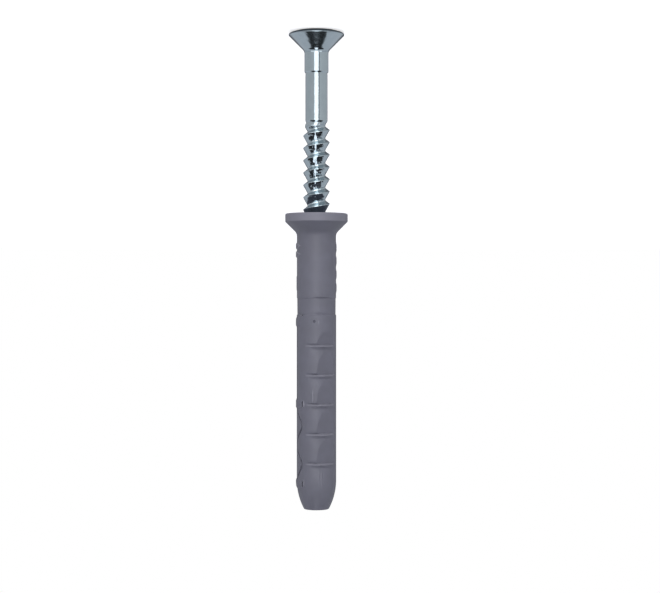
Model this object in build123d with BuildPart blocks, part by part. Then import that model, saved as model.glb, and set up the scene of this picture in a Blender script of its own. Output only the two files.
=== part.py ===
from build123d import *
import os
from math import cos, pi, radians, sin, sqrt, tan

# Driving dimensions in millimetres and degrees. The screw stands on the flat of its head, so
# heights run up from there. The front of the object faces -Y, and angles turn about Z from +X.

# Screw, with its lengths measured from the flat of the head
screw_length = 65.0
head_diameter = 11.3
head_land = 0.8
head_edge = 0.22
head_cone = 90.0
upper_shank_diameter = 4.88
upper_shank_end = 8.7
shank_step_height = 0.45
lower_shank_diameter = 4.51
lower_shank_end = 18.2
root_taper_height = 1.2
root_diameter = 3.65
point_length = 2.8
point_flat_diameter = 1.0

# Thread, a coarse buttress form whose steep flank faces the head
thread_start = 18.75
thread_pitch = 2.5
crest_diameter = 5.35
steep_flank = 0.7
root_land = 0.25
thread_sink = 0.06
facets_per_turn = 10
lead_in_facets = 5
fade_facets = 9

# Cross recess in the head
recess_width = 6.2
recess_slot = 1.15
recess_depth = 2.7
recess_floor_width = 2.2

# Sleeve
exposed_length = 37.0
sleeve_length = 60.0
zone_diameter = 8.0
shank_diameter = 7.95
collar_diameter = 12.7
collar_rim = 1.65
collar_edge = 0.25
collar_cone = 90.0
nose_length = 5.9
nose_radius = 12.4
nose_facets = 3
tip_edge = 0.35

# Grip lugs on the upper shank, placed by their depth below the face of the collar
diamond_angle = -8.0
diamond_first = 6.6
diamond_pitch = 1.7
diamond_count = 2
diamond_width = 4.2
diamond_height = 1.5
diamond_proud = 0.17
swell_angle = 170.0
swell_first = 6.9
swell_pitch = 2.72
swell_count = 4
swell_spread = 36.0
swell_proud = 0.13
swell_land = 0.9
swell_gap = 0.16
long_lug_depth = 14.1
long_lug_land = 2.4
long_lug_proud = 0.08
lug_fade = 0.4

# Bore of the sleeve, sized on the screw
head_clearance = 0.1
mouth_land = 0.25
thread_clearance = 0.075
pilot_diameter = 3.2
bore_taper = 3.0

# Expansion zone, placed back from the tip of the sleeve: first the plain ring above it, which
# narrows towards the tip by the draft of the mould
ring_diameter = 7.8
ring_draft = 0.5
ring_start = 42.9
ring_end = 39.4
ring_step = 0.1

# Slit between the two halves, straight first and then in waves
slit_angle = -14.0
slit_width = 0.42
straight_start = 39.1
straight_end = 22.0
wave_start = 20.9
wave_pitch = 7.73
wave_count = 2
wave_reach = 1.88

# Ties beside the slit, and the small notch next to each of the lower ones
tie_places = (38.0, 21.45, 5.3)
tie_land = 1.2
tie_fade = 0.5
tie_proud = 0.2
tie_spread = 30.0
notch_turn = 31.0
notch_height = 1.2
notch_width = 0.32
notch_depth = 0.35

# Expansion ledges of each half: a groove above the lip, a chin under it and a ramp down to the next
ledge_first = 33.1
ledge_pitch = 5.96
ledge_count = 5
ledge_spread = 47.5
groove_height = 0.24
groove_depth = 0.3
chin_land = 0.1
chin_turn = 12.0
chin_depth = 0.22
chin_height = 0.2
chin_fade = 0.3
ramp_turn = 18.0
ramp_top = 0.2
ramp_bottom = 0.62
ramp_lead = 3.0
ramp_entry = 0.6

# Worked out from the sizes above
cone_slope = tan(radians(head_cone / 2))
head_radius = head_diameter / 2
upper_radius = upper_shank_diameter / 2
lower_radius = lower_shank_diameter / 2
root_radius = root_diameter / 2
crest_radius = crest_diameter / 2
head_height = head_land + (head_radius - upper_radius) / cone_slope
point_start = screw_length - point_length
gentle_flank = thread_pitch - root_land - steep_flank
core_radius = root_radius * cos(pi / facets_per_turn) - thread_sink
sink_share = thread_sink / (crest_radius - root_radius)
thread_turns = (point_start - thread_start - gentle_flank) / thread_pitch
thread_facets = int(thread_turns * facets_per_turn)
zone_radius = zone_diameter / 2
shank_radius = shank_diameter / 2
ring_radius = ring_diameter / 2
ring_foot_radius = ring_radius - (ring_start - ring_end - 2 * ring_step) * tan(radians(ring_draft))
collar_radius = collar_diameter / 2
bore_radius = crest_radius + thread_clearance
pilot_radius = pilot_diameter / 2
mouth_radius = head_radius + head_clearance
collar_face = exposed_length
sleeve_top = collar_face + sleeve_length
neck_height = collar_face + collar_rim + (collar_radius - shank_radius) / tan(radians(collar_cone / 2))
mouth_end = collar_face + mouth_land + (mouth_radius - bore_radius) / cone_slope
bore_end = point_start + thread_clearance
half_angle = slit_angle - 90
ledges = [sleeve_top - ledge_first + ledge * ledge_pitch for ledge in range(ledge_count)]


# Half-plane outwards at an angle, from an axis shifted that way: x runs outwards and y runs up
def radial_plane(angle, shift=0.0, height=0.0):
    out = (cos(radians(angle)), sin(radians(angle)), 0)
    return Plane((shift * out[0], shift * out[1], height), x_dir=out, z_dir=(out[1], -out[0], 0))


# Plane through the axis that faces an angle: x runs up, and y runs clockwise seen from above
def facing_plane(angle):
    return Plane((0, 0, 0), x_dir=(0, 0, 1), z_dir=(cos(radians(angle)), sin(radians(angle)), 0))


# Rings about a shifted axis, so that each stands proud at one angle and dies into the round body
# at the spread to either side. With a negative proud they are grooves that do the same, and with
# no land their first two corners are one.
def crescents(radius, proud, angle, spread, heights, land, fade_down, fade_up):
    outer = radius + proud
    shift = (outer**2 - radius**2) / (2 * (outer - radius * cos(radians(spread))))
    plane = radial_plane(angle, shift)
    with BuildPart() as rings:
        with BuildSketch(plane):
            for height in heights:
                low, high = height - land / 2, height + land / 2
                corners = [
                    (outer - shift, low),
                    (outer - shift, high),
                    (outer - shift - 2 * proud, high + 2 * fade_up),
                    (outer - shift - 2 * proud, low - 2 * fade_down),
                ]
                with BuildLine():
                    Polyline(*dict.fromkeys(corners), close=True)
                make_face()
        revolve(axis=Axis(plane.origin, (0, 0, 1)))
    return rings.part


# Hammer screw: head, shank and core of the thread are turned as one profile
with BuildPart() as hammer_screw:
    with BuildSketch(Plane.XZ) as screw_section:
        with BuildLine():
            Polyline(
                (0, 0),
                (head_radius, 0),
                (head_radius, head_land),
                (upper_radius, head_height),
                (upper_radius, upper_shank_end),
                (lower_radius, upper_shank_end + shank_step_height),
                (lower_radius, lower_shank_end),
                (core_radius, lower_shank_end + root_taper_height),
                (core_radius, point_start),
                (point_flat_diameter / 2, screw_length),
                (0, screw_length),
                close=True,
            )
        make_face()
        chamfer(screw_section.vertices().group_by(Axis.X)[-1], head_edge)
    revolve(axis=Axis.Z)

    for slot_plane in (Plane.XZ, Plane.YZ):
        with BuildSketch(slot_plane):
            Polygon((-recess_width / 2, 0), (recess_width / 2, 0), (recess_floor_width / 2, recess_depth),
                    (-recess_floor_width / 2, recess_depth), align=None)
        extrude(amount=recess_slot / 2, both=True, mode=Mode.SUBTRACT)

    with BuildSketch(Plane.XY.offset(lower_shank_end)):
        RegularPolygon(root_radius, facets_per_turn)
    extrude(amount=point_start - lower_shank_end)

# Thread: its section climbs the helix in straight facets, and grows out of the core at each end
with BuildPart() as thread:
    for facet in range(thread_facets + 1):
        turn = facet / facets_per_turn
        growth = min(1, facet / lead_in_facets, (thread_facets - facet) / fade_facets)
        tip_radius = root_radius - thread_sink / 2 + growth * (crest_radius - root_radius + thread_sink / 2)
        with BuildSketch(radial_plane(360 * turn, height=thread_start + thread_pitch * turn)):
            with BuildLine():
                Polyline(
                    (root_radius - thread_sink, -steep_flank * (1 + sink_share)),
                    (tip_radius, 0),
                    (root_radius - thread_sink, gentle_flank * (1 + sink_share)),
                    close=True,
                )
            make_face()
    loft(ruled=True)

with hammer_screw:
    add(thread.part)
hammer_screw.part.label = "hammer_screw"

# Diamond lugs of the upper shank
with BuildPart() as diamond_lugs:
    with BuildSketch(facing_plane(diamond_angle)):
        for lug in range(diamond_count):
            with Locations((collar_face + diamond_first + lug * diamond_pitch, 0)):
                Polygon((diamond_height / 2, 0), (0, diamond_width / 2), (-diamond_height / 2, 0),
                        (0, -diamond_width / 2))
    extrude(amount=collar_radius)
    Cylinder(shank_radius + diamond_proud, sleeve_top, align=(Align.CENTER, Align.CENTER, Align.MIN),
             mode=Mode.INTERSECT)

# Plug sleeve: collar, shank, ring and nose are one moulded body of revolution
with BuildPart() as plug_sleeve:
    with BuildSketch(Plane.XZ) as sleeve_section:
        nose_steps = [nose_length * step / nose_facets for step in range(nose_facets + 1)]
        nose = [(zone_radius - nose_radius + sqrt(nose_radius**2 - rise**2), sleeve_top - nose_length + rise)
                for rise in nose_steps]
        with BuildLine():
            Polyline(
                (0, collar_face),
                (collar_radius, collar_face),
                (collar_radius, collar_face + collar_rim),
                (shank_radius, neck_height),
                (shank_radius, sleeve_top - ring_start),
                (ring_radius, sleeve_top - ring_start + ring_step),
                (ring_foot_radius, sleeve_top - ring_end - ring_step),
                (zone_radius, sleeve_top - ring_end),
                *nose,
                (0, sleeve_top),
                close=True,
            )
        make_face()
        chamfer(sleeve_section.vertices().group_by(Axis.X)[-1], collar_edge)
        chamfer(sleeve_section.vertices().sort_by_distance(nose[-1])[0], tip_edge)
    revolve(axis=Axis.Z)

    # Raised bands and lugs
    swells = [collar_face + swell_first + swell * swell_pitch for swell in range(swell_count)]
    swell_fade = (swell_pitch - swell_land - swell_gap) / 2
    add(crescents(shank_radius, swell_proud, swell_angle, swell_spread, swells, swell_land,
                  swell_fade, swell_fade))
    add(crescents(shank_radius, long_lug_proud, diamond_angle, swell_spread,
                  [collar_face + long_lug_depth], long_lug_land, lug_fade, lug_fade))
    ties = [sleeve_top - place for place in tie_places]
    add(crescents(zone_radius, tie_proud, slit_angle, tie_spread, ties, tie_land, tie_fade, tie_fade))
    add(diamond_lugs.part)

    # Bore, from the countersunk mouth to the open tip
    with BuildSketch(Plane.XZ):
        with BuildLine():
            Polyline(
                (0, collar_face),
                (mouth_radius, collar_face),
                (mouth_radius, collar_face + mouth_land),
                (bore_radius, mouth_end),
                (bore_radius, bore_end),
                (pilot_radius, bore_end + bore_taper),
                (pilot_radius, sleeve_top),
                (0, sleeve_top),
                close=True,
            )
        make_face()
    revolve(axis=Axis.Z, mode=Mode.SUBTRACT)

    # Slit, ledges and notches, the same in both halves
    for half in (0, 180):
        with BuildSketch(facing_plane(slit_angle + half)):
            with Locations((sleeve_top - (straight_start + straight_end) / 2, 0)):
                Rectangle(straight_start - straight_end, slit_width)
            quarters = [(sleeve_top - wave_start + wave_pitch * quarter / 4,
                         wave_reach * (1 - cos(pi * quarter / 2)) / 2) for quarter in range(4 * wave_count + 1)]
            with BuildLine():
                for side in (-slit_width / 2, slit_width / 2):
                    for quarter in range(4 * wave_count):
                        level = quarter + quarter % 2
                        steep = quarter + 1 - quarter % 2
                        TangentArc((quarters[level][0], quarters[level][1] + side),
                                   (quarters[steep][0], quarters[steep][1] + side),
                                   tangent=(steep - level, 0))
                for end in (quarters[0], quarters[-1]):
                    Line((end[0], end[1] - slit_width / 2), (end[0], end[1] + slit_width / 2))
            make_face()
        extrude(amount=collar_radius, mode=Mode.SUBTRACT)

        with BuildSketch(radial_plane(half_angle + half - ramp_turn)):
            for ledge in ledges:
                top = ledge - (ramp_lead if ledge == ledges[0] else ledge_pitch - chin_land)
                with BuildLine():
                    Polyline(
                        (zone_radius, top),
                        (zone_radius - ramp_top, top + ramp_entry),
                        (zone_radius - ramp_bottom, ledge - groove_height),
                        (zone_radius, ledge),
                        (collar_radius, ledge),
                        (collar_radius, top),
                        close=True,
                    )
                make_face()
        extrude(amount=zone_radius, both=True, mode=Mode.SUBTRACT)

        feet = [ledge - groove_height for ledge in ledges]
        add(crescents(zone_radius, -groove_depth, half_angle + half, ledge_spread, feet, 0,
                      0, groove_height), mode=Mode.SUBTRACT)
        chins = [ledge + chin_land + chin_height for ledge in ledges]
        add(crescents(zone_radius, -chin_depth, half_angle + half - chin_turn, ledge_spread, chins, 0,
                      chin_height, chin_fade), mode=Mode.SUBTRACT)

        with BuildSketch(facing_plane(slit_angle + half - notch_turn).offset(zone_radius - notch_depth)):
            for tie in ties[1:]:
                with Locations((tie, 0)):
                    SlotOverall(notch_height, notch_width)
        extrude(amount=zone_radius, mode=Mode.SUBTRACT)
plug_sleeve.part.label = "plug_sleeve"

os.makedirs("parts", exist_ok=True)
export_step(plug_sleeve.part, "parts/plug_sleeve.step")
export_step(hammer_screw.part, "parts/hammer_screw.step")
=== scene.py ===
from math import cos, pi, radians, sin, tan

import bmesh
import bpy
import numpy as np
from mathutils import Matrix, Vector


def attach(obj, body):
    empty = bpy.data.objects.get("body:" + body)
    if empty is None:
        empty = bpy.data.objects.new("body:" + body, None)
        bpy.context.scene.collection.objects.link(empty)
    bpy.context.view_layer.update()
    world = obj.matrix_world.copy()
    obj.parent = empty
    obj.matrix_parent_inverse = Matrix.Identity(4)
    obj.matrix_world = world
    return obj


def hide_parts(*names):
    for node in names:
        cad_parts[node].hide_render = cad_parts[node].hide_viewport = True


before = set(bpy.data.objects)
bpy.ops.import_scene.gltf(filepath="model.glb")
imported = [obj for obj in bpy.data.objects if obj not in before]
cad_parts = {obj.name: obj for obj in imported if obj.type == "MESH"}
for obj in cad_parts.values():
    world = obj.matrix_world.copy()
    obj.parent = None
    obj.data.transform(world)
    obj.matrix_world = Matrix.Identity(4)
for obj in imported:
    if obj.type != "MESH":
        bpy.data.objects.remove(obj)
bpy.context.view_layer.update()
print("frame loaded:", sorted(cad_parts))

mm = 0.001  # scene units are metres, and the sizes below are millimetres
weldDistance = 0.0005  # points of a piece that lie nearer than this are one point


# Linear colour of an sRGB code such as #bac7cd
def linearHex(code):
    channels = [int(code[i:i + 2], 16) / 255 for i in (1, 3, 5)]
    return [c / 12.92 if c <= 0.04045 else ((c + 0.055) / 1.055) ** 2.4 for c in channels] + [1.0]


# Adds a node with its settings; its inputs go by name, by number or in order, and each takes
# a value, another node's output, or another node, which stands for its first output
def addNode(tree, kind, inputs=(), **settings):
    node = tree.nodes.new(kind)
    for name, value in settings.items():
        setattr(node, name, value)
    for name, value in inputs.items() if isinstance(inputs, dict) else enumerate(inputs):
        if isinstance(value, bpy.types.Node):
            value = value.outputs[0]
        if isinstance(value, bpy.types.NodeSocket):
            tree.links.new(value, node.inputs[name])
        else:
            node.inputs[name].default_value = value
    return node


def newMaterial(name):
    material = bpy.data.materials.new(name)
    material.use_nodes = True
    material.node_tree.nodes.clear()
    return material, material.node_tree


# Camera: the photograph's, level, with the head of the screw upwards in the picture
cameraView = {
    "distance": 325.4,
    "height": 53.84,
    "side": -2.75,  # the picture's centre lies beside the plug's axis
    "lens": 87.3,
    "sensor": 36.0,
}


def addCamera():
    data = bpy.data.cameras.new("camera")
    data.sensor_width = cameraView["sensor"]
    data.lens = cameraView["lens"]
    camera = bpy.data.objects.new("camera", data)
    bpy.context.scene.collection.objects.link(camera)
    camera.matrix_world = Matrix((
        (-1, 0, 0, cameraView["side"] * mm),
        (0, 0, -1, -cameraView["distance"] * mm),
        (0, -1, 0, cameraView["height"] * mm),
        (0, 0, 0, 1),
    ))
    bpy.context.scene.camera = camera
    bpy.context.scene.view_settings.view_transform = "Standard"


addCamera()
print("camera set")

# Materials: a mix node takes two numbers as inputs 2 and 3, or two colours as inputs 6 and 7,
# and gives a mixed colour as output 2
nylonFinish = {
    "colour": "#676771",
    "mottle": "#6a6a75",
    "mottleSize": 2.6,
    "mottleRange": (0.35, 0.65),  # values of the noise between which the two colours mix
    "paintedHighlight": "#8b8a94",  # painted highlight: paler where an edge or lip faces the light
    "roughness": 0.36,
    "specular": 0.22,
    "ior": 1.53,
    "grainSize": 0.16,  # the mould's fine spark texture
    "grainDepth": 0.004,
    "grainStrength": 0.5,
    "noiseDetail": 2.0,
}


# Polyamide 6, injection moulded: satin, faintly cloudy, with a fine even grain from the mould
def mouldedNylon(finish):
    material, tree = newMaterial("injectionMouldedNylon")
    place = addNode(tree, "ShaderNodeTexCoord").outputs["Object"]
    cloud, grain = (addNode(tree, "ShaderNodeTexNoise", {
        "Vector": place, "Scale": 1 / (size * mm), "Detail": finish["noiseDetail"]})
        for size in (finish["mottleSize"], finish["grainSize"]))
    low, high = finish["mottleRange"]
    share = addNode(tree, "ShaderNodeMapRange", {"Value": cloud, "From Min": low, "From Max": high})
    clouded = addNode(tree, "ShaderNodeMix", {
        0: share, 6: linearHex(finish["colour"]), 7: linearHex(finish["mottle"])}, data_type="RGBA")
    # painted highlight: a point attribute mixes in a paler colour on edges and lips that face the light
    paintedHighlight = addNode(tree, "ShaderNodeAttribute", attribute_name="paintedHighlight").outputs["Fac"]
    colour = addNode(tree, "ShaderNodeMix", {
        0: paintedHighlight, 6: clouded.outputs[2], 7: linearHex(finish["paintedHighlight"])}, data_type="RGBA")
    bump = addNode(tree, "ShaderNodeBump", {
        "Height": grain, "Distance": finish["grainDepth"] * mm, "Strength": finish["grainStrength"]})
    shader = addNode(tree, "ShaderNodeBsdfPrincipled", {
        "Base Color": colour.outputs[2],
        "Roughness": finish["roughness"],
        "IOR": finish["ior"],
        "Specular IOR Level": finish["specular"],
        "Normal": bump,
    })
    addNode(tree, "ShaderNodeOutputMaterial", {"Surface": shader})
    return material


zincFinish = {
    "colour": "#bac7cd",
    "shade": "#aebbc1",
    "patchSize": 1.4,
    "patchDetail": 3.0,
    "roughness": 0.09,
    "roughSpread": 0.07,
    # Fine lines along the wire, left by drawing it through a die
    "lines": {"size": 0.12, "detail": 1.0, "depth": 0.0015},
    "lineStretch": 0.06,
    "lineStrength": 0.4,
    # Slight waviness that the cold forming leaves under the plating
    "waves": {"size": 0.9, "detail": 2.0, "depth": 0.02},
    "waveStrength": 1.0,
    # Stronger waviness of the rolled thread, and the heights between which it sets in
    "lumps": {"size": 1.0, "detail": 1.0, "depth": 0.17},
    "rolledStart": (18.0, 19.6),
}


# Steel, cold headed and rolled, with a bright zinc plating: even grey gloss, a little duller in patches
def platedSteel(finish):
    material, tree = newMaterial("zincPlatedSteel")
    place = addNode(tree, "ShaderNodeTexCoord").outputs["Object"]
    patch = addNode(tree, "ShaderNodeTexNoise", {
        "Vector": place, "Scale": 1 / (finish["patchSize"] * mm), "Detail": finish["patchDetail"]})
    colour = addNode(tree, "ShaderNodeMix", {
        0: patch, 6: linearHex(finish["colour"]), 7: linearHex(finish["shade"])}, data_type="RGBA")
    roughest = finish["roughness"] + finish["roughSpread"]
    rough = addNode(tree, "ShaderNodeMapRange", {
        "Value": patch, "To Min": finish["roughness"], "To Max": roughest})
    alongWire = addNode(tree, "ShaderNodeMapping", {
        "Vector": place, "Scale": (1.0, 1.0, finish["lineStretch"])})
    height = addNode(tree, "ShaderNodeSeparateXYZ", [place]).outputs["Z"]
    low, high = finish["rolledStart"]
    rolled = addNode(tree, "ShaderNodeMapRange", {
        "Value": height, "From Min": low * mm, "From Max": high * mm})
    under = {}
    for name, vector, strength in (("lines", alongWire, finish["lineStrength"]),
                                   ("waves", place, finish["waveStrength"]), ("lumps", place, rolled)):
        relief = finish[name]
        pattern = addNode(tree, "ShaderNodeTexNoise", {
            "Vector": vector, "Scale": 1 / (relief["size"] * mm), "Detail": relief["detail"]})
        bump = addNode(tree, "ShaderNodeBump", {
            "Height": pattern, "Distance": relief["depth"] * mm, "Strength": strength, **under})
        under = {"Normal": bump}
    shader = addNode(tree, "ShaderNodeBsdfPrincipled", {
        "Base Color": colour.outputs[2], "Roughness": rough, "Metallic": 1.0, **under})
    addNode(tree, "ShaderNodeOutputMaterial", {"Surface": shader})
    return material


nylon = mouldedNylon(nylonFinish)
zinc = platedSteel(zincFinish)
print("materials made")


# Profile of (radius, height) points from corners of (radius, height, rounding)
def roundedProfile(corners, steps):
    points = []
    for number, (radius, height, rounding) in enumerate(corners):
        here = Vector((radius, height))
        if not rounding:
            points.append((radius, height))
            continue
        back = (Vector(corners[number - 1][:2]) - here).normalized()
        ahead = (Vector(corners[number + 1][:2]) - here).normalized()
        half = back.angle(ahead) / 2
        centre = here + (back + ahead).normalized() * rounding / sin(half)
        start, end = (here + way * rounding / tan(half) - centre for way in (back, ahead))
        turn = pi - 2 * half
        for step in range(steps + 1):
            share = step / steps
            point = centre + (start * sin((1 - share) * turn) + end * sin(share * turn)) / sin(turn)
            points.append((point.x, point.y))
    return points


# Turns a profile of (radius, height) points about Z; a radius of nought closes the end
def turnProfile(shape, profile, columns):
    rings = []
    for radius, height in profile:
        turns = [2 * pi * step / columns for step in range(columns if radius else 1)]
        rings.append([shape.verts.new((radius * mm * cos(turn), radius * mm * sin(turn), height * mm))
                      for turn in turns])
    for low, high in zip(rings, rings[1:]):
        for step in range(columns):
            ahead = step + 1
            corners = (low[step % len(low)], low[ahead % len(low)],
                       high[ahead % len(high)], high[step % len(high)])
            shape.faces.new(list(dict.fromkeys(corners)))


# Closes two rings of as many points into a prism
def closePrism(shape, low, high):
    for step in range(len(low)):
        ahead = (step + 1) % len(low)
        shape.faces.new((low[step], low[ahead], high[ahead], high[step]))
    shape.faces.new(low)
    shape.faces.new(high)


def meshObject(name, shape, material):
    mesh = bpy.data.meshes.new(name)
    shape.to_mesh(mesh)
    shape.free()
    mesh.materials.append(material)
    piece = bpy.data.objects.new(name, mesh)
    bpy.context.scene.collection.objects.link(piece)
    return piece


def bakeModifiers(piece):
    graph = bpy.context.evaluated_depsgraph_get()
    mesh = bpy.data.meshes.new_from_object(piece.evaluated_get(graph), depsgraph=graph)
    piece.modifiers.clear()
    piece.data = mesh


def cutAway(piece, cutter):
    cut = piece.modifiers.new(cutter.name, "BOOLEAN")
    cut.operation, cut.object, cut.solver = "DIFFERENCE", cutter, "EXACT"
    bakeModifiers(piece)
    bpy.data.objects.remove(cutter)


# Marks as sharp each edge that turns by more than the angle, and smooths the rest
def smoothByAngle(shape, angle):
    for face in shape.faces:
        face.smooth = True
    for edge in shape.edges:
        edge.smooth = len(edge.link_faces) == 2 and edge.calc_face_angle(0) < radians(angle)


# Welds the seams of a shape, turns its faces outwards, smooths it and makes it the piece's mesh
def finishPiece(piece, shape, smoothAngle):
    bmesh.ops.remove_doubles(shape, verts=shape.verts, dist=weldDistance * mm)
    bmesh.ops.recalc_face_normals(shape, faces=shape.faces)
    smoothByAngle(shape, smoothAngle)
    print(piece.name, "open edges", sum(not edge.is_manifold for edge in shape.edges),
          "volume mm3", round(shape.calc_volume() / mm**3, 1),
          "triangles", sum(len(face.verts) - 2 for face in shape.faces))
    shape.to_mesh(piece.data)
    shape.free()


# Screw: head, shank and point turned from profiles, round the same columns as the thread
screw = {
    "columns": 96,
    "roundSteps": 6,
    "smoothAngle": 24,
    "headRadius": 5.65,
    "headRound": 0.38,
    "crownRadius": 4.3,  # flat middle of the head, from which a shallow bevel runs to the rim
    "crownHeight": 0.42,
    "headLand": 0.8,
    "landRound": 0.2,
    "neckHeight": 4.01,
    "neckRound": 1.3,
    "upperRadius": 2.44,
    "upperEnd": 8.25,
    "stepHeight": 0.26,
    "stepRound": 0.02,
    "grooveRadius": 2.2,  # the step's foot is cut slightly below the lower shank
    "grooveLength": 0.3,
    "lowerRadius": 2.255,
    "lowerEnd": 18.2,
    "rootRadius": 1.825,
    "pointStart": 62.2,
    "length": 65.0,
    "tipRadius": 0.5,
}

thread = {
    "pitch": 2.5,
    "crestRadius": 2.675,
    "firstCrest": 18.75,  # height of the crest above +X
    "rowsPerPitch": 20,
    "steepRows": 5,
    "crestRows": 1,
    "gentleRows": 12,
    "turnsBefore": 2,  # turns of the grid before the first crest, flattened into the shank's end
    "turnsPast": 1,
    "taperEnd": 18.95,
    "growFrom": 18.2,
    "growHeight": 1.25,
    "fadeHeight": 2.25,
    "weld": 0.0004,
}

recess = {
    "width": 6.2,
    "slot": 1.15,
    "depth": 2.7,
    "floorWidth": 2.2,
    "cutAbove": 0.2,
}


# Geometry Nodes tree of the thread: a sheared grid wrapped round the axis, whose rows climb the helix
def threadTree(values):
    tree = bpy.data.node_groups.new("rolledThread", "GeometryNodeTree")
    tree.interface.new_socket("Geometry", in_out="OUTPUT", socket_type="NodeSocketGeometry")
    kinds = {int: "NodeSocketInt", float: "NodeSocketFloat", bpy.types.Material: "NodeSocketMaterial"}
    for name, value in values.items():
        tree.interface.new_socket(name, in_out="INPUT", socket_type=kinds[type(value)])
    given = addNode(tree, "NodeGroupInput").outputs

    # The grid spans -0.5 to 0.5 both ways: across it one turn, and along it the rows
    pointsAcross = addNode(tree, "ShaderNodeMath", [given["Columns"], 1], operation="ADD")
    pointsAlong = addNode(tree, "ShaderNodeMath", [given["Rows"], 1], operation="ADD")
    grid = addNode(tree, "GeometryNodeMeshGrid", {
        "Size X": 1.0, "Size Y": 1.0, "Vertices X": pointsAcross, "Vertices Y": pointsAlong})
    position = addNode(tree, "GeometryNodeInputPosition")
    place = addNode(tree, "ShaderNodeSeparateXYZ", [position]).outputs
    turn = addNode(tree, "ShaderNodeMath", [place["X"], 0.5], operation="ADD")
    along = addNode(tree, "ShaderNodeMath", [place["Y"], 0.5], operation="ADD")
    rowsAlong = addNode(tree, "ShaderNodeMath", [along, given["Rows"]], operation="MULTIPLY")
    row = addNode(tree, "ShaderNodeMath", [rowsAlong], operation="ROUND")
    pitches = addNode(tree, "ShaderNodeMath", [row, given["Rows per pitch"]], operation="DIVIDE")
    climb = addNode(tree, "ShaderNodeMath", [pitches, turn], operation="ADD")
    climbed = addNode(tree, "ShaderNodeMath", [climb, given["Pitch"]], operation="MULTIPLY")
    height = addNode(tree, "ShaderNodeMath", [given["First row height"], climbed], operation="ADD")

    # Form across one pitch: steep flank, crest, gentle flank and root
    rowInPitch = addNode(tree, "ShaderNodeMath", [row, given["Rows per pitch"]], operation="MODULO")
    rise = addNode(tree, "ShaderNodeMapRange", {"Value": rowInPitch, "From Max": given["Steep rows"]})
    crestEnd = addNode(tree, "ShaderNodeMath", [given["Steep rows"], given["Crest rows"]], operation="ADD")
    gentleEnd = addNode(tree, "ShaderNodeMath", [crestEnd, given["Gentle rows"]], operation="ADD")
    fall = addNode(tree, "ShaderNodeMapRange", {
        "Value": rowInPitch, "From Min": crestEnd, "From Max": gentleEnd})
    form = addNode(tree, "ShaderNodeMath", [rise, fall], operation="SUBTRACT")

    # The form grows out of the shank's end, and fades before the point
    grown = addNode(tree, "ShaderNodeMath", [given["Low end"], given["Grow height"]], operation="ADD")
    grow = addNode(tree, "ShaderNodeMapRange", {
        "Value": height, "From Min": given["Low end"], "From Max": grown})
    whole = addNode(tree, "ShaderNodeMath", [given["High end"], given["Fade height"]], operation="SUBTRACT")
    fade = addNode(tree, "ShaderNodeMapRange", {
        "Value": height, "From Min": given["High end"], "From Max": whole})
    ends = addNode(tree, "ShaderNodeMath", [grow, fade], operation="MULTIPLY")
    share = addNode(tree, "ShaderNodeMath", [form, ends], operation="MULTIPLY")
    crest = addNode(tree, "ShaderNodeMath", [given["Crest radius"], given["Root radius"]],
                    operation="SUBTRACT")
    proud = addNode(tree, "ShaderNodeMath", [share, crest], operation="MULTIPLY")
    shoulder = addNode(tree, "ShaderNodeMath", [given["Shank radius"], given["Root radius"]],
                       operation="SUBTRACT")
    taper = addNode(tree, "ShaderNodeMapRange", {
        "Value": height, "From Min": given["Taper end"], "From Max": given["Low end"], "To Max": shoulder})
    overRoot = addNode(tree, "ShaderNodeMath", [proud, taper], operation="MAXIMUM")
    radius = addNode(tree, "ShaderNodeMath", [given["Root radius"], overRoot], operation="ADD")

    # Each point goes to its place round the axis, and those past an end lie flat on it
    angle = addNode(tree, "ShaderNodeMath", [turn, 2 * pi], operation="MULTIPLY")
    cosine = addNode(tree, "ShaderNodeMath", [angle], operation="COSINE")
    sine = addNode(tree, "ShaderNodeMath", [angle], operation="SINE")
    x = addNode(tree, "ShaderNodeMath", [radius, cosine], operation="MULTIPLY")
    y = addNode(tree, "ShaderNodeMath", [radius, sine], operation="MULTIPLY")
    raised = addNode(tree, "ShaderNodeMath", [height, given["Low end"]], operation="MAXIMUM")
    z = addNode(tree, "ShaderNodeMath", [raised, given["High end"]], operation="MINIMUM")
    target = addNode(tree, "ShaderNodeCombineXYZ", [x, y, z])
    wrapped = addNode(tree, "GeometryNodeSetPosition", {"Geometry": grid, "Position": target})
    welded = addNode(tree, "GeometryNodeMergeByDistance", {"Geometry": wrapped, "Distance": given["Weld"]})
    real = addNode(tree, "GeometryNodeRealizeInstances", {"Geometry": welded})
    painted = addNode(tree, "GeometryNodeSetMaterial", {"Geometry": real, "Material": given["Material"]})
    addNode(tree, "NodeGroupOutput", {"Geometry": painted})
    return tree


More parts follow.
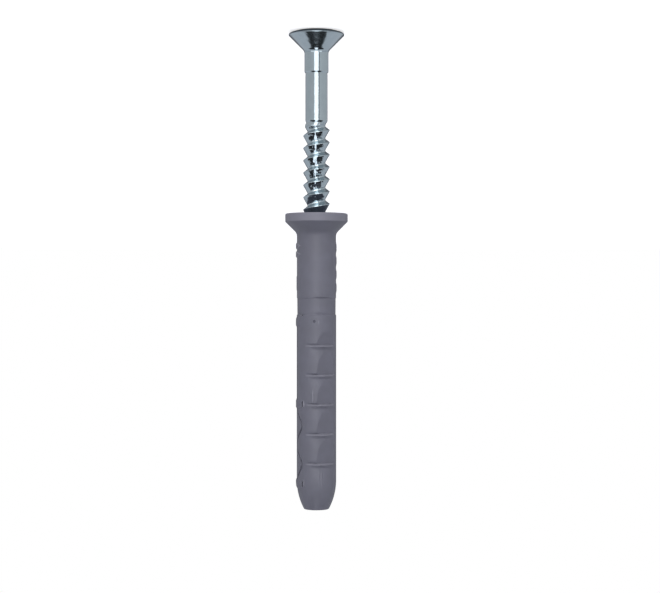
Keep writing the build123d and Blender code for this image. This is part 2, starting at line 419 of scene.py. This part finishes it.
def rolledThread():
    threadTurns = int((screw["pointStart"] - thread["growFrom"]) / thread["pitch"])
    gridTurns = thread["turnsBefore"] + threadTurns + thread["turnsPast"]
    crestRow = thread["steepRows"] + thread["crestRows"] / 2
    crestTurns = thread["turnsBefore"] + crestRow / thread["rowsPerPitch"]
    firstRow = thread["firstCrest"] - thread["pitch"] * crestTurns
    values = {
        "Columns": screw["columns"],
        "Rows": gridTurns * thread["rowsPerPitch"],
        "Rows per pitch": thread["rowsPerPitch"],
        "Steep rows": thread["steepRows"],
        "Crest rows": thread["crestRows"],
        "Gentle rows": thread["gentleRows"],
        "Pitch": thread["pitch"] * mm,
        "First row height": firstRow * mm,
        "Low end": thread["growFrom"] * mm,
        "High end": screw["pointStart"] * mm,
        "Shank radius": screw["lowerRadius"] * mm,
        "Taper end": thread["taperEnd"] * mm,
        "Root radius": screw["rootRadius"] * mm,
        "Crest radius": thread["crestRadius"] * mm,
        "Grow height": thread["growHeight"] * mm,
        "Fade height": thread["fadeHeight"] * mm,
        "Weld": thread["weld"] * mm,
        "Material": zinc,
    }
    tree = threadTree(values)
    piece = bpy.data.objects.new("threadRows", bpy.data.meshes.new("threadRows"))
    bpy.context.scene.collection.objects.link(piece)
    modifier = piece.modifiers.new("rolledThread", "NODES")
    modifier.node_group = tree
    for item in tree.interface.items_tree:
        if item.item_type == "SOCKET" and item.in_out == "INPUT":
            modifier[item.identifier] = values[item.name]
    bakeModifiers(piece)
    return piece


# Cross of two slots that narrow towards their floor
def crossCutter():
    shape = bmesh.new()
    above = recess["cutAbove"]
    spread = (recess["width"] - recess["floorWidth"]) * above / recess["depth"]
    rings = []
    for height, width in ((-above, recess["width"] + spread), (recess["depth"], recess["floorWidth"])):
        arm, side = width / 2, recess["slot"] / 2
        outline = [(arm, -side), (arm, side), (side, side), (side, arm), (-side, arm), (-side, side),
                   (-arm, side), (-arm, -side), (-side, -side), (-side, -arm), (side, -arm), (side, -side)]
        rings.append([shape.verts.new((x * mm, y * mm, height * mm)) for x, y in outline])
    closePrism(shape, *rings)
    bmesh.ops.recalc_face_normals(shape, faces=shape.faces)
    return meshObject("crossCutter", shape, zinc)


def headAndShank():
    stepFoot = screw["upperEnd"] + screw["stepHeight"]
    shape = bmesh.new()
    turnProfile(shape, roundedProfile([
        (0, 0, 0),
        (screw["crownRadius"], 0, 0),
        (screw["headRadius"], screw["crownHeight"], screw["headRound"]),
        (screw["headRadius"], screw["headLand"], screw["landRound"]),
        (screw["upperRadius"], screw["neckHeight"], screw["neckRound"]),
        (screw["upperRadius"], screw["upperEnd"], screw["stepRound"]),
        (screw["grooveRadius"], stepFoot, screw["stepRound"]),
        (screw["lowerRadius"], stepFoot + screw["grooveLength"], screw["stepRound"]),
        (screw["lowerRadius"], screw["lowerEnd"], 0),
    ], screw["roundSteps"]), screw["columns"])
    bmesh.ops.recalc_face_normals(shape, faces=shape.faces)
    return meshObject("hammerScrew", shape, zinc)


def nailScrew():
    piece = headAndShank()
    cutAway(piece, crossCutter())
    rows = rolledThread()
    shape = bmesh.new()
    shape.from_mesh(piece.data)
    shape.from_mesh(rows.data)
    bpy.data.objects.remove(rows)
    turnProfile(shape, [(screw["rootRadius"], screw["pointStart"]), (screw["tipRadius"], screw["length"]),
                        (0, screw["length"])], screw["columns"])
    finishPiece(piece, shape, screw["smoothAngle"])
    piece.data.materials.clear()
    piece.data.materials.append(zinc)
    return piece


screwPiece = nailScrew()
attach(screwPiece, "root")
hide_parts("hammer_screw")
print("screw made")

# Sleeve: one moulded skin, whose radius is worked out at each height and angle, with its bore
sleeve = {
    "columns": 224,
    "face": 37.0,
    "tip": 97.0,
    "collarRadius": 6.35,
    "collarRim": 1.65,
    "shankRadius": 3.975,
    "neckHeight": 41.025,
    "ringStart": 54.1,
    "ringEnd": 57.6,
    "ringRadius": 3.9,
    "ringFootRadius": 3.87,
    "ringStep": 0.1,
    "zoneRadius": 4.0,
    "noseLength": 5.9,
    "noseRadius": 12.4,
    "noseSteps": 14,
    "faceRound": 0.28,
    "rimRound": 0.1,
    "neckRound": 1.4,
    "tipRound": 0.25,
    "roundSteps": 6,
    "smoothAngle": 32,
    # painted highlight: the collar's rim is paler, as it faces the light
    "rimHighlight": 0.36,
    "rimHighlightFade": (0.05, 0.1),  # how far past the rim it reaches, and over what height it fades
    # Rows of the skin, and how far to each side of a form they lie close together
    "rowSpacing": 0.28,
    "fineSpacing": 0.075,
    "leastSpacing": 0.03,
    "fineAtLedge": (0.65, 0.9),
    "fineAtRingStart": (0.3, 0.4),
    "fineAtRingEnd": (0.3, 0.3),
    "fineAtDiamond": (0.9, 0.9),
    "fineAtVent": (0.2, 0.2),
    # Bore: countersunk mouth, wide part for the thread, pilot hole to the tip
    "mouthRadius": 5.75,
    "mouthLand": 0.25,
    "mouthEnd": 40.25,
    "boreRadius": 2.75,
    "boreEnd": 62.275,
    "pilotStart": 65.275,
    "pilotRadius": 1.6,
}

diamonds = {
    "angle": -8.0,
    "heights": (43.6, 45.3),
    "width": 4.2,
    "height": 1.5,
    "proud": 0.2,
    "edge": 0.3,
    # painted highlight: a pale line along each diamond's edges, which catch the light
    "paintedHighlight": 0.75,
    "highlightAt": 0.12,  # place and width of the painted highlight line, as shares of the way from edge to middle
    "highlightWidth": 0.2,
}

lugs = {
    "swells": {"angle": 170.0, "heights": [43.9 + 2.72 * step for step in range(4)], "spread": 36.0,
               "proud": 0.13, "land": 0.9, "fade": 0.8},
    "longLug": {"angle": -8.0, "heights": [51.1], "spread": 36.0, "proud": 0.08, "land": 2.4, "fade": 0.4},
    "ties": {"angle": -14.0, "heights": [59.0, 75.55, 91.7], "spread": 30.0, "proud": 0.2, "land": 1.2,
             "fade": 0.5},
}

# Ledges: above and below are as in the photograph, where the screw's head is up
ledge = {
    "first": 63.9,
    "pitch": 5.96,
    "count": 5,
    "angle": -104.0,  # the middle of the half that faces the camera
    "spread": 47.5,
    "grooveTop": 0.58,  # where the groove starts, above the lip
    "grooveFoot": 0.34,
    "grooveDepth": 0.4,
    "lipProud": 0.07,
    "lipHeights": (-0.1, 0.0, 0.08, 0.2),  # about its own height: start, then whole between two, then end
    "chinTurn": 12.0,
    "chinDepth": 0.28,
    "chinHeight": 0.6,
    "chinFade": 2.2,
    "rampTurn": 18.0,
    "rampLead": 3.0,
    "rampEntry": 0.6,
    "rampTop": 0.2,
    "rampBottom": 0.62,
    "rampStart": 0.1,
    "rampFacing": 0.3,  # the ramp's flat is cut where the wall faces its way by more than this
    # painted highlight: a pale line along each lip, which faces the light
    "paintedHighlight": 0.5,
    "highlightHeight": 0.13,
    "highlightFlank": 1.6,  # above 1, the middle of the painted highlight line is evenly pale
    "highlightSpread": 0.4,  # below 1, the painted highlight reaches further towards the ends of the lip
}

# Traces of the mould on the camera's side: where, how long, how far they stand out or lie in, and how
# strong a painted highlight lies on them
traces = {
    "ringGroove": {"angle": -107.6, "height": 54.12, "wide": 33.0, "tall": 0.22, "proud": -0.18},
    "ringCrease": {"angle": -104.4, "height": 55.85, "wide": 1.2, "tall": 1.6, "proud": -0.025},
    "sideVent": {"angle": -43.0, "height": 57.66, "wide": 5.0, "tall": 0.24, "proud": -0.4},
    "frontVent": {"angle": -84.0, "height": 58.9, "wide": 4.4, "tall": 0.24, "proud": -0.34},
    "ringFoot": {"angle": -107.6, "height": 57.42, "wide": 33.0, "tall": 0.16, "proud": -0.12},
    "ventRib": {"angle": -97.0, "height": 59.0, "wide": 1.6, "tall": 0.5, "proud": 0.04, "paintedHighlight": 0.5},
    "rampRib": {"angle": -79.5, "height": 73.9, "wide": 2.6, "tall": 1.6, "proud": 0.12, "paintedHighlight": 0.6},
    "leftRib": {"angle": -98.0, "height": 90.4, "wide": 2.2, "tall": 2.0, "proud": 0.06, "paintedHighlight": 0.2},
    "rightRib": {"angle": -106.2, "height": 90.6, "wide": 2.6, "tall": 2.2, "proud": 0.11, "paintedHighlight": 0.2},
    "upperNotch": {"angle": -50.4, "height": 75.55, "wide": 2.6, "tall": 0.8, "proud": 0.1, "paintedHighlight": 1.0},
    "lowerNotch": {"angle": -50.4, "height": 91.5, "wide": 2.6, "tall": 0.8, "proud": 0.08, "paintedHighlight": 0.5},
}
flanks = {"proud": 1.2, "paintedHighlight": 1.5}  # above 1, a trace has a level top

slit = {
    "angle": -14.0,
    "width": 0.46,
    "straight": (57.9, 75.0),
    "waveStart": 76.1,
    "wavePitch": 7.73,
    "waveCount": 2,
    "waveReach": 1.88,
    "waveSteps": 16,
    "cutFrom": 0.8,
    "cutTo": 5.2,
    "notchTurn": 31.0,
    "notchHeights": (75.55, 91.7),
    "notchHeight": 1.2,
    "notchWidth": 0.32,
    "notchFloor": 3.65,
    "notchSteps": 6,
}


def ledgeHeights():
    return [ledge["first"] + step * ledge["pitch"] for step in range(ledge["count"])]


# Outer profile of the sleeve without its lugs and ledges; its end corners only guide the roundings
def sleeveProfile():
    noseTop = sleeve["tip"] - sleeve["noseLength"]
    noseRadius = sleeve["noseRadius"]
    nose = [(sleeve["zoneRadius"] - noseRadius + (noseRadius**2 - rise**2) ** 0.5, noseTop + rise, 0)
            for rise in np.linspace(0, sleeve["noseLength"], sleeve["noseSteps"] + 1)]
    return roundedProfile([
        (sleeve["mouthRadius"], sleeve["face"], 0),
        (sleeve["collarRadius"], sleeve["face"], sleeve["faceRound"]),
        (sleeve["collarRadius"], sleeve["face"] + sleeve["collarRim"], sleeve["rimRound"]),
        (sleeve["shankRadius"], sleeve["neckHeight"], sleeve["neckRound"]),
        (sleeve["shankRadius"], sleeve["ringStart"], 0),
        (sleeve["ringRadius"], sleeve["ringStart"] + sleeve["ringStep"], 0),
        (sleeve["ringFootRadius"], sleeve["ringEnd"] - sleeve["ringStep"], 0),
        (sleeve["zoneRadius"], sleeve["ringEnd"], 0),
        *nose[:-1],
        (*nose[-1][:2], sleeve["tipRound"]),
        (sleeve["pilotRadius"], sleeve["tip"], 0),
    ], sleeve["roundSteps"])[1:-1]


# Heights of the skin's rows: close together where the ledges, rings and lugs need it
def skinHeights(profile):
    places = [(height, "fineAtLedge") for height in ledgeHeights()]
    places += [(height, "fineAtDiamond") for height in diamonds["heights"]]
    places += [(sleeve["ringStart"], "fineAtRingStart"), (sleeve["ringEnd"], "fineAtRingEnd"),
               (traces["frontVent"]["height"], "fineAtVent")]
    fine = [(height - sleeve[name][0], height + sleeve[name][1]) for height, name in places]
    heights, height = [], profile[0][1]
    while height < profile[-1][1]:
        heights.append(height)
        close = any(start <= height <= end for start, end in fine)
        height += sleeve["fineSpacing"] if close else sleeve["rowSpacing"]
    corners = [point[1] for point in profile]
    kept = [height for height in heights
            if min(abs(height - corner) for corner in corners) > sleeve["leastSpacing"]]
    return np.array(sorted(set(kept + corners)))


def smoothShare(value):
    value = np.clip(value, 0, 1)
    return value * value * (3 - 2 * value)


def turnFrom(angles, angle):
    return (angles - angle + 180) % 360 - 180


# Share of a crescent: whole at its own angle, nothing past the spread to either side
def crescent(angles, angle, spread):
    away = np.cos(np.radians(turnFrom(angles, angle)))
    edge = cos(radians(spread))
    return np.clip((away - edge) / (1 - edge), 0, 1)


def band(heights, middle, land, fade):
    return smoothShare((land / 2 + fade - np.abs(heights - middle)) / fade)


# 1 in the middle of a diamond and 0 on its edge
def insideDiamond(angles, heights, height):
    across = np.abs(np.radians(turnFrom(angles, diamonds["angle"]))) * sleeve["shankRadius"]
    return 1 - across / (diamonds["width"] / 2) - np.abs(heights - height) / (diamonds["height"] / 2)


# How proud a trace makes each point, or how much painted highlight it lays there: fully in its middle, and
# not at all at its ends
def traceAmount(angles, heights, trace, kind):
    across = np.abs(turnFrom(angles, trace["angle"])) / trace["wide"]
    along = np.abs(heights - trace["height"]) / trace["tall"]
    flank = flanks[kind]
    return trace.get(kind, 0) * smoothShare(flank * (1 - across)) * smoothShare(flank * (1 - along))


def addLugs(radii, angles, heights):
    for height in diamonds["heights"]:
        inside = insideDiamond(angles, heights, height)
        radii = radii + diamonds["proud"] * smoothShare(inside / diamonds["edge"])
    for lug in lugs.values():
        across = crescent(angles, lug["angle"], lug["spread"])
        for height in lug["heights"]:
            radii = radii + lug["proud"] * across * band(heights, height, lug["land"], lug["fade"])
    return radii


# Both halves: a flat ramp, a groove over the lip and a chin below it
def cutLedges(radii, angles, heights):
    zone = sleeve["zoneRadius"]
    least = ledge["rampFacing"]
    for half in (0, 180):
        middle = ledge["angle"] + half
        facing = np.cos(np.radians(turnFrom(angles, middle - ledge["rampTurn"])))
        groove = crescent(angles, middle, ledge["spread"])
        chin = crescent(angles, middle - ledge["chinTurn"], ledge["spread"])
        for height in ledgeHeights():
            lead = ledge["rampLead"] if height == ledge["first"] else ledge["pitch"] - ledge["rampStart"]
            start, foot = height - lead, height - ledge["grooveFoot"]
            depth = np.interp(heights, [start, start + ledge["rampEntry"], foot, height],
                              [0, ledge["rampTop"], ledge["rampBottom"], 0])
            flat = (zone - depth) / np.maximum(facing, least)
            inward = ledge["grooveDepth"] * groove * np.interp(
                heights, [height - ledge["grooveTop"], foot, height], [0, 1, 0])
            chinFoot = height + ledge["chinHeight"]
            below = ledge["chinDepth"] * chin * np.interp(
                heights, [height + ledge["rampStart"], chinFoot, chinFoot + ledge["chinFade"]], [0, 1, 0])
            lip = ledge["lipProud"] * groove * np.interp(
                heights, [height + part for part in ledge["lipHeights"]], [0, 1, 1, 0])
            radii = np.where((facing > least) & (depth > 0), np.minimum(radii, flat), radii)
            radii = np.where(inward > 0, np.minimum(radii, zone - inward), radii)
            radii = np.where(below > 0, np.minimum(radii, zone - below), radii) + lip
    return radii


def addTraces(radii, angles, heights):
    for trace in traces.values():
        radii = radii + traceAmount(angles, heights, trace, "proud")
    return radii


# How strongly a painted highlight pales each point of the skin: on the collar's rim, the lips, the diamonds
# and the ribs, where they face the light
def paintedHighlightShare(angles, heights):
    reach, fade = sleeve["rimHighlightFade"]
    rim = sleeve["face"] + sleeve["collarRim"] + reach
    share = sleeve["rimHighlight"] * smoothShare((rim - heights) / fade)
    for height in diamonds["heights"]:
        inside = insideDiamond(angles, heights, height)
        off = np.abs(inside - diamonds["highlightAt"]) / diamonds["highlightWidth"]
        share = np.maximum(share, diamonds["paintedHighlight"] * smoothShare(1 - off))
    for half in (0, 180):
        lip = crescent(angles, ledge["angle"] + half, ledge["spread"]) ** ledge["highlightSpread"]
        for height in ledgeHeights():
            off = np.abs(heights - height - ledge["lipHeights"][0]) / ledge["highlightHeight"]
            share = np.maximum(share, ledge["paintedHighlight"] * lip * smoothShare(ledge["highlightFlank"] - off))
    for trace in traces.values():
        share = np.maximum(share, traceAmount(angles, heights, trace, "paintedHighlight"))
    return share


# Prism that cuts outwards at one angle, from an outline of (height, across) points
def addPrism(shape, outline, angle, near, far):
    out = Vector((cos(radians(angle)), sin(radians(angle)), 0))
    across = Vector((out.y, -out.x, 0))
    closePrism(shape, *([shape.verts.new((out * reach + across * side + Vector((0, 0, height))) * mm)
                         for height, side in outline] for reach in (near, far)))


def waveOutline(half):
    steps = slit["waveSteps"]
    wave = [(slit["waveStart"] + slit["wavePitch"] * step / steps,
             slit["waveReach"] * (1 - cos(2 * pi * step / steps)) / 2)
            for step in range(steps * slit["waveCount"] + 1)]
    there = [(height, side - half) for height, side in wave]
    return there + [(height, side + half) for height, side in reversed(wave)]


# Notch with round ends
def notchOutline(height):
    radius = slit["notchWidth"] / 2
    reach = slit["notchHeight"] / 2
    ends = ((height + reach - radius, -90), (height - reach + radius, 90))
    return [(middle + radius * cos(radians(around)), radius * sin(radians(around)))
            for middle, start in ends for around in np.linspace(start, start + 180, slit["notchSteps"] + 1)]


def slitCutter():
    shape = bmesh.new()
    half = slit["width"] / 2
    low, high = slit["straight"]
    for turn in (0, 180):
        angle = slit["angle"] + turn
        for outline in ([(low, -half), (high, -half), (high, half), (low, half)], waveOutline(half)):
            addPrism(shape, outline, angle, slit["cutFrom"], slit["cutTo"])
        for height in slit["notchHeights"]:
            addPrism(shape, notchOutline(height), angle - slit["notchTurn"],
                     slit["notchFloor"], slit["cutTo"])
    bmesh.ops.recalc_face_normals(shape, faces=shape.faces)
    return meshObject("slitCutter", shape, nylon)


# Mesh through rings of points, one at each level, with the last ring joined to the first
def ringMesh(name, radii, levels, angles):
    points = np.stack([radii * np.cos(np.radians(angles)), radii * np.sin(np.radians(angles)),
                       np.repeat(levels[:, None], len(angles), axis=1)], axis=-1) * mm
    rows, columns = radii.shape
    row, column = (grid.ravel() for grid in np.mgrid[0:rows, 0:columns])
    nextRow, nextColumn = (row + 1) % rows, (column + 1) % columns
    faces = np.stack([row * columns + column, row * columns + nextColumn,
                      nextRow * columns + nextColumn, nextRow * columns + column], axis=-1)
    mesh = bpy.data.meshes.new(name)
    mesh.from_pydata(points.reshape(-1, 3).tolist(), [], faces.tolist())
    return mesh


def plugSleeve():
    profile = sleeveProfile()
    heights = skinHeights(profile)
    angles = np.arange(sleeve["columns"]) * 360 / sleeve["columns"]
    radii = np.interp(heights, [point[1] for point in profile], [point[0] for point in profile])
    angleGrid, heightGrid = np.meshgrid(angles, heights)
    skin = np.repeat(radii[:, None], len(angles), axis=1)
    for change in (addLugs, cutLedges, addTraces):
        skin = change(skin, angleGrid, heightGrid)
    bore = [(sleeve["pilotRadius"], sleeve["tip"]), (sleeve["pilotRadius"], sleeve["pilotStart"]),
            (sleeve["boreRadius"], sleeve["boreEnd"]), (sleeve["boreRadius"], sleeve["mouthEnd"]),
            (sleeve["mouthRadius"], sleeve["face"] + sleeve["mouthLand"]),
            (sleeve["mouthRadius"], sleeve["face"])]
    skin = np.vstack([skin] + [np.full((1, len(angles)), radius) for radius, _ in bore])
    levels = np.concatenate([heights, [height for _, height in bore]])
    mesh = ringMesh("plugSleeve", skin, levels, angles)
    mesh.materials.append(nylon)
    # painted highlight share at each point of the skin, nought on the bore
    paintedHighlight = np.zeros(skin.shape)
    paintedHighlight[:len(heights)] = paintedHighlightShare(angleGrid, heightGrid)
    mesh.attributes.new("paintedHighlight", "FLOAT", "POINT").data.foreach_set("value", paintedHighlight.ravel())
    piece = bpy.data.objects.new("plugSleeve", mesh)
    bpy.context.scene.collection.objects.link(piece)
    cutAway(piece, slitCutter())
    shape = bmesh.new()
    shape.from_mesh(piece.data)
    finishPiece(piece, shape, sleeve["smoothAngle"])
    return piece


sleevePiece = plugSleeve()
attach(sleevePiece, "root")
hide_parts("plug_sleeve")
print("sleeve made")

# Floor: white to the camera, and a grey desk with soft pools of light to the object
desk = {
    "size": 3000.0,
    "sides": 64,
    "gap": 0.02,  # keeps the floor clear of the flat of the head
    "opening": 4.2,  # hidden under the head, so that its flat has light when it is seen from below
    "seenColour": "#ececec",
    "seenGlow": 0.66,  # for the camera only, so that the floor meets the backdrop without an edge
    "colour": "#9a9b9e",
    # Glow by bearing from the plug's axis: 0 is towards the camera, and below 0 is right in the picture
    "pools": {-150: 0.0, -140: 0.4, -31: 0.46, -30: 0.0, -21: 0.0, -20: 1.9, 20: 1.9, 21: 0.4, 140: 0.38,
              150: 0.0},
    "poolStart": (9, 13),  # distances from the axis between which the pools set in
}


# The rays that look at the background: the camera's and see-through ones
def seenRays(tree):
    rays = addNode(tree, "ShaderNodeLightPath").outputs
    return addNode(tree, "ShaderNodeMath", [rays["Is Camera Ray"], rays["Is Transmission Ray"]],
                   operation="MAXIMUM")


def poolGlow(tree):
    place = addNode(tree, "ShaderNodeTexCoord").outputs["Object"]
    part = addNode(tree, "ShaderNodeSeparateXYZ", [place]).outputs
    nearer = addNode(tree, "ShaderNodeMath", [part["Y"], -1.0], operation="MULTIPLY")
    bearing = addNode(tree, "ShaderNodeMath", [part["X"], nearer], operation="ARCTAN2")
    turn = addNode(tree, "ShaderNodeMapRange", {"Value": bearing, "From Min": -pi, "From Max": pi})
    pools = addNode(tree, "ShaderNodeFloatCurve", {"Value": turn})
    points = pools.mapping.curves[0].points
    brightest = max(desk["pools"].values())
    for angle, glow in desk["pools"].items():
        points.new((angle + 180) / 360, glow / brightest).handle_type = "VECTOR"
    for end in (points[0], points[-1]):
        end.location.y = 0
        end.handle_type = "VECTOR"
    pools.mapping.update()
    away = addNode(tree, "ShaderNodeVectorMath", [place], operation="LENGTH").outputs["Value"]
    near, far = (distance * mm for distance in desk["poolStart"])
    start = addNode(tree, "ShaderNodeMapRange", {
        "Value": away, "From Min": near, "From Max": far, "To Max": brightest},
        interpolation_type="SMOOTHSTEP")
    return addNode(tree, "ShaderNodeMath", [pools, start], operation="MULTIPLY")


# Clear to the camera from below, so that the underside of the head can be seen
def floorMaterial():
    material, tree = newMaterial("studioFloor")
    seen = seenRays(tree)
    colour = addNode(tree, "ShaderNodeMix", {
        0: seen, 6: linearHex(desk["colour"]), 7: linearHex(desk["seenColour"])}, data_type="RGBA")
    strength = addNode(tree, "ShaderNodeMix", {
        0: seen, 2: poolGlow(tree), 3: desk["seenGlow"]}, data_type="FLOAT")
    diffuse = addNode(tree, "ShaderNodeBsdfDiffuse", {"Color": colour.outputs[2]})
    glow = addNode(tree, "ShaderNodeEmission", {"Strength": strength})
    both = addNode(tree, "ShaderNodeAddShader", [diffuse, glow])
    back = addNode(tree, "ShaderNodeNewGeometry").outputs["Backfacing"]
    seenFromBelow = addNode(tree, "ShaderNodeMath", [seen, back], operation="MULTIPLY")
    clear = addNode(tree, "ShaderNodeBsdfTransparent")
    surface = addNode(tree, "ShaderNodeMixShader", [seenFromBelow, both, clear])
    addNode(tree, "ShaderNodeOutputMaterial", {"Surface": surface})
    return material


def studioFloor():
    shape = bmesh.new()
    turns = np.linspace(0, 2 * pi, desk["sides"], endpoint=False)
    inner, outer = ([shape.verts.new((radius * cos(turn), radius * sin(turn), -desk["gap"] * mm))
                     for turn in turns] for radius in (desk["opening"] * mm, desk["size"] / 2 * mm))
    for step in range(desk["sides"]):
        shape.faces.new((inner[step - 1], outer[step - 1], outer[step], inner[step]))
    floor = meshObject("studioFloor", shape, floorMaterial())


# Room round the object: light by direction, where -Y is towards the camera and +Z is down in the picture
room = {
    "colour": "#f4f7ff",
    "backdrop": "#ffffff",
    "backdropLevel": 1.0,
    "above": 0.66,
    "unlit": 0.03,  # front half of the ceiling, past the tip of the plug
    "tube": 2.0,  # one lit tube in the middle of it
    "mirroredShare": 0.15,  # share of the white backdrop which shows in polished metal
    # Each fade: its direction, where it starts and ends, and its values there
    "fades": {
        "sides": ("Y", 0.75, 0.93, 0.56, 0.14),  # level of the walls, which is lower behind the object
        "above": ("Z", 0.15, 0.5, 0.0, 1.0),
        "ceiling": ("Z", 0.6, 0.68, 0.0, 1.0),
        "ceilingFront": ("Y", -0.06, -0.03, 1.0, 0.0),
        "tubeFront": ("Y", -0.32, -0.26, 1.0, 0.0),
        "tubeMiddle": ("aside", 0.12, 0.18, 1.0, 0.0),
        "backdrop": ("Y", 0.945, 0.962, 0.0, 1.0),
    },
}


def studioRoom():
    world = bpy.data.worlds.new("studioRoom")
    world.use_nodes = True
    bpy.context.scene.world = world
    tree = world.node_tree
    tree.nodes.clear()
    towards = addNode(tree, "ShaderNodeTexCoord").outputs["Generated"]
    direction = dict(addNode(tree, "ShaderNodeSeparateXYZ", [towards]).outputs.items())
    direction["aside"] = addNode(tree, "ShaderNodeMath", [direction["X"]], operation="ABSOLUTE")
    fades = {}
    for name, (way, start, end, low, high) in room["fades"].items():
        fades[name] = addNode(tree, "ShaderNodeMapRange", {
            "Value": direction[way], "From Min": start, "From Max": end, "To Min": low, "To Max": high},
            interpolation_type="SMOOTHSTEP")

    unlit = addNode(tree, "ShaderNodeMath", [fades["ceiling"], fades["ceilingFront"]], operation="MULTIPLY")
    strip = addNode(tree, "ShaderNodeMath", [fades["ceiling"], fades["tubeMiddle"]], operation="MULTIPLY")
    tube = addNode(tree, "ShaderNodeMath", [strip, fades["tubeFront"]], operation="MULTIPLY")
    level = fades["sides"]
    for share, lit in ((fades["above"], room["above"]), (unlit, room["unlit"]), (tube, room["tube"])):
        level = addNode(tree, "ShaderNodeMix", {0: share, 2: level, 3: lit}, data_type="FLOAT")

    # The white backdrop hides the room from the camera, and shows a little in polished metal
    glossy = addNode(tree, "ShaderNodeLightPath").outputs["Is Glossy Ray"]
    mirror = addNode(tree, "ShaderNodeMath", [glossy, room["mirroredShare"]], operation="MULTIPLY")
    mirrored = addNode(tree, "ShaderNodeMath", [fades["backdrop"], mirror], operation="MULTIPLY")
    white = addNode(tree, "ShaderNodeMath", [seenRays(tree), mirrored], operation="MAXIMUM")
    colour = addNode(tree, "ShaderNodeMix", {
        0: white, 6: linearHex(room["colour"]), 7: linearHex(room["backdrop"])}, data_type="RGBA")
    strength = addNode(tree, "ShaderNodeMix", {
        0: white, 2: level, 3: room["backdropLevel"]}, data_type="FLOAT")
    background = addNode(tree, "ShaderNodeBackground", {"Color": colour.outputs[2], "Strength": strength})
    addNode(tree, "ShaderNodeOutputWorld", {"Surface": background})


# Lamps: three panels before the object, mirrored as bright lines in the steel, and a fill by the floor
lamps = {
    "frontStrip": {"place": (0, -420, 75), "aim": (0, 0, 50), "size": (290, 150), "radiance": 1.95},
    "leftPanel": {"place": (274, -357, 75), "aim": (0, 0, 50), "size": (240, 150), "radiance": 0.7},
    "rightPanel": {"place": (-301, -334, 75), "aim": (0, 0, 50), "size": (165, 150), "radiance": 0.75},
    "lowFill": {"place": (0, -34, 1), "aim": (0, -30, 60), "size": (120, 40), "radiance": 0.75,
                "mirrored": False},
}


def addLamps():
    for name, lamp in lamps.items():
        data = bpy.data.lights.new(name, "AREA")
        data.shape = "RECTANGLE"
        data.size, data.size_y = (side * mm for side in lamp["size"])
        data.energy = lamp["radiance"] * pi * data.size * data.size_y
        light = bpy.data.objects.new(name, data)
        light.location = Vector(lamp["place"]) * mm
        towards = (Vector(lamp["aim"]) - Vector(lamp["place"])).to_track_quat("-Z", "Y")
        light.rotation_euler = towards.to_euler()
        light.visible_camera = False
        light.visible_glossy = lamp.get("mirrored", True)
        bpy.context.scene.collection.objects.link(light)


studioFloor()
studioRoom()
addLamps()
print("studio made")
